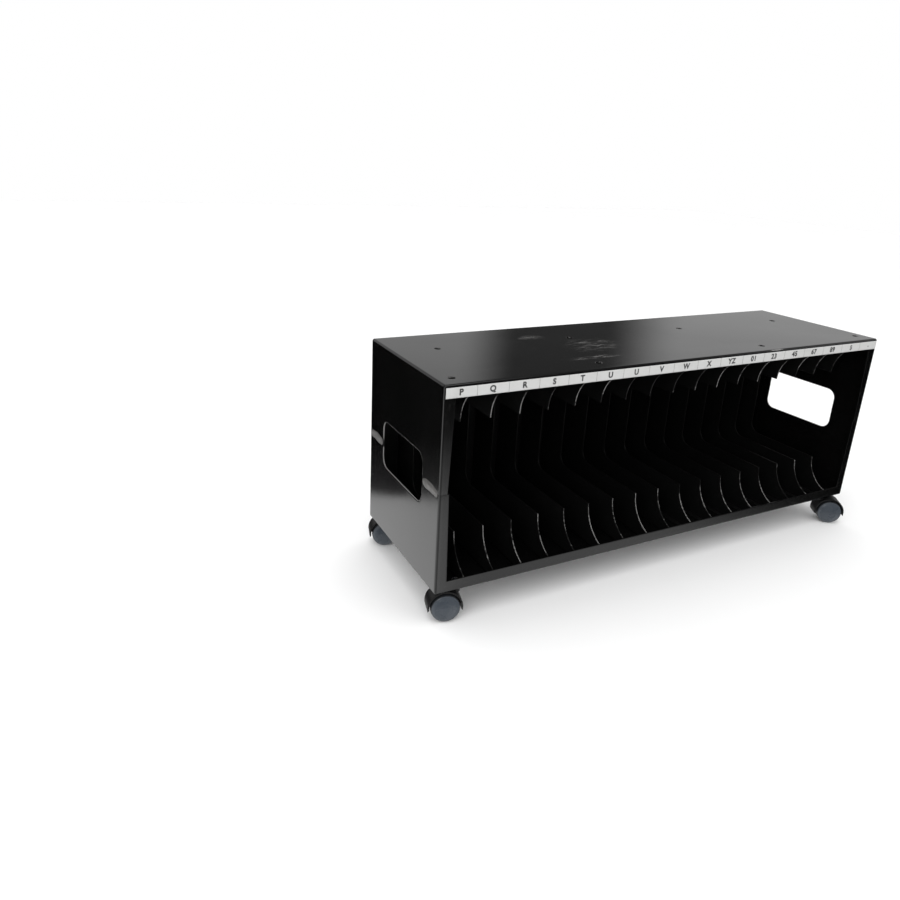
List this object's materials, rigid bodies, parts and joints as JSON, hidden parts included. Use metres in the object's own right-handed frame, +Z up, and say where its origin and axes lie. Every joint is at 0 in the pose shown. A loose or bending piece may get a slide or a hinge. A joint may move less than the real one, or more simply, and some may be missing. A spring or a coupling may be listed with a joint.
{
  "type": "compartment sorting rack",
  "caption": "Low steel cabinet on swivel casters, open at the front, divided by C-shaped plates into upright indexed compartments, with a hand hole in each end.",
  "frame": {"origin": "on the floor under the middle of the cabinet", "axes": "+X along the cabinet to the right, +Y to the back, +Z up; the open front faces -Y"},
  "size_m": [1.0078, 0.3436, 0.4125],
  "materials": {
    "black_enamel": "stoved gloss enamel with light scuffs",
    "raw_weld": "rippled weld under thin enamel",
    "index_paper": "printed paper strip under clear film",
    "hood_plastic": "moulded nylon, satin",
    "wheel_plastic": "moulded nylon, satin with fine scuffs",
    "zinc_steel": "bright zinc plate"
  },
  "bodies": {
    "root": {"upper_shell": "black_enamel", "lower_shell": "black_enamel", "back_panel": "black_enamel", "weld_beads": "raw_weld", "index_strip": "index_paper", "divider_01": "black_enamel", "divider_02": "black_enamel", "divider_03": "black_enamel", "divider_04": "black_enamel", "divider_05": "black_enamel", "divider_06": "black_enamel", "divider_07": "black_enamel", "divider_08": "black_enamel", "divider_09": "black_enamel", "divider_10": "black_enamel", "divider_11": "black_enamel", "divider_12": "black_enamel", "divider_13": "black_enamel", "divider_14": "black_enamel", "divider_15": "black_enamel", "divider_16": "black_enamel", "divider_17": "black_enamel", "front_left_stem": "zinc_steel", "front_right_stem": "zinc_steel", "rear_left_stem": "zinc_steel", "rear_right_stem": "zinc_steel", "stem_washers": "zinc_steel", "stem_nuts": "zinc_steel"},
    "front_left_caster": {"front_left_hood": "hood_plastic", "front_left_axle": "zinc_steel"},
    "front_left_wheel_a": {"front_left_wheel_a": "wheel_plastic"},
    "front_left_wheel_b": {"front_left_wheel_b": "wheel_plastic"},
    "front_right_caster": {"front_right_hood": "hood_plastic", "front_right_axle": "zinc_steel"},
    "front_right_wheel_a": {"front_right_wheel_a": "wheel_plastic"},
    "front_right_wheel_b": {"front_right_wheel_b": "wheel_plastic"},
    "rear_left_caster": {"rear_left_hood": "hood_plastic", "rear_left_axle": "zinc_steel"},
    "rear_left_wheel_a": {"rear_left_wheel_a": "wheel_plastic"},
    "rear_left_wheel_b": {"rear_left_wheel_b": "wheel_plastic"},
    "rear_right_caster": {"rear_right_hood": "hood_plastic", "rear_right_axle": "zinc_steel"},
    "rear_right_wheel_a": {"rear_right_wheel_a": "wheel_plastic"},
    "rear_right_wheel_b": {"rear_right_wheel_b": "wheel_plastic"}
  },
  "joints": [
    {"name": "front_left_swivel", "type": "hinge", "parent": "root", "child": "front_left_caster", "pos_m": [-0.45494, -0.1315, 0.0575], "axis": [0, 0, 1], "continuous": true},
    {"name": "front_left_wheel_a_spin", "type": "hinge", "parent": "front_left_caster", "child": "front_left_wheel_a", "pos_m": [-0.47233, -0.12684, 0.025], "axis": [-0.2588, -0.9659, 0], "continuous": true},
    {"name": "front_left_wheel_b_spin", "type": "hinge", "parent": "front_left_caster", "child": "front_left_wheel_b", "pos_m": [-0.47233, -0.12684, 0.025], "axis": [-0.2588, -0.9659, 0], "continuous": true},
    {"name": "front_right_swivel", "type": "hinge", "parent": "root", "child": "front_right_caster", "pos_m": [0.45494, -0.1315, 0.0575], "axis": [0, 0, 1], "continuous": true},
    {"name": "front_right_wheel_a_spin", "type": "hinge", "parent": "front_right_caster", "child": "front_right_wheel_a", "pos_m": [0.46951, -0.14208, 0.025], "axis": [0.5878, 0.809, 0], "continuous": true},
    {"name": "front_right_wheel_b_spin", "type": "hinge", "parent": "front_right_caster", "child": "front_right_wheel_b", "pos_m": [0.46951, -0.14208, 0.025], "axis": [0.5878, 0.809, 0], "continuous": true},
    {"name": "rear_left_swivel", "type": "hinge", "parent": "root", "child": "rear_left_caster", "pos_m": [-0.45494, 0.1315, 0.0575], "axis": [0, 0, 1], "continuous": true},
    {"name": "rear_left_wheel_a_spin", "type": "hinge", "parent": "rear_left_caster", "child": "rear_left_wheel_a", "pos_m": [-0.47225, 0.13646, 0.025], "axis": [-0.2756, -0.9613, 0], "continuous": true},
    {"name": "rear_left_wheel_b_spin", "type": "hinge", "parent": "rear_left_caster", "child": "rear_left_wheel_b", "pos_m": [-0.47225, 0.13646, 0.025], "axis": [-0.2756, -0.9613, 0], "continuous": true},
    {"name": "rear_right_swivel", "type": "hinge", "parent": "root", "child": "rear_right_caster", "pos_m": [0.45494, 0.1315, 0.0575], "axis": [0, 0, 1], "continuous": true},
    {"name": "rear_right_wheel_a_spin", "type": "hinge", "parent": "rear_right_caster", "child": "rear_right_wheel_a", "pos_m": [0.46951, 0.14208, 0.025], "axis": [-0.5878, 0.809, 0], "continuous": true},
    {"name": "rear_right_wheel_b_spin", "type": "hinge", "parent": "rear_right_caster", "child": "rear_right_wheel_b", "pos_m": [0.46951, 0.14208, 0.025], "axis": [-0.5878, 0.809, 0], "continuous": true}
  ]
}
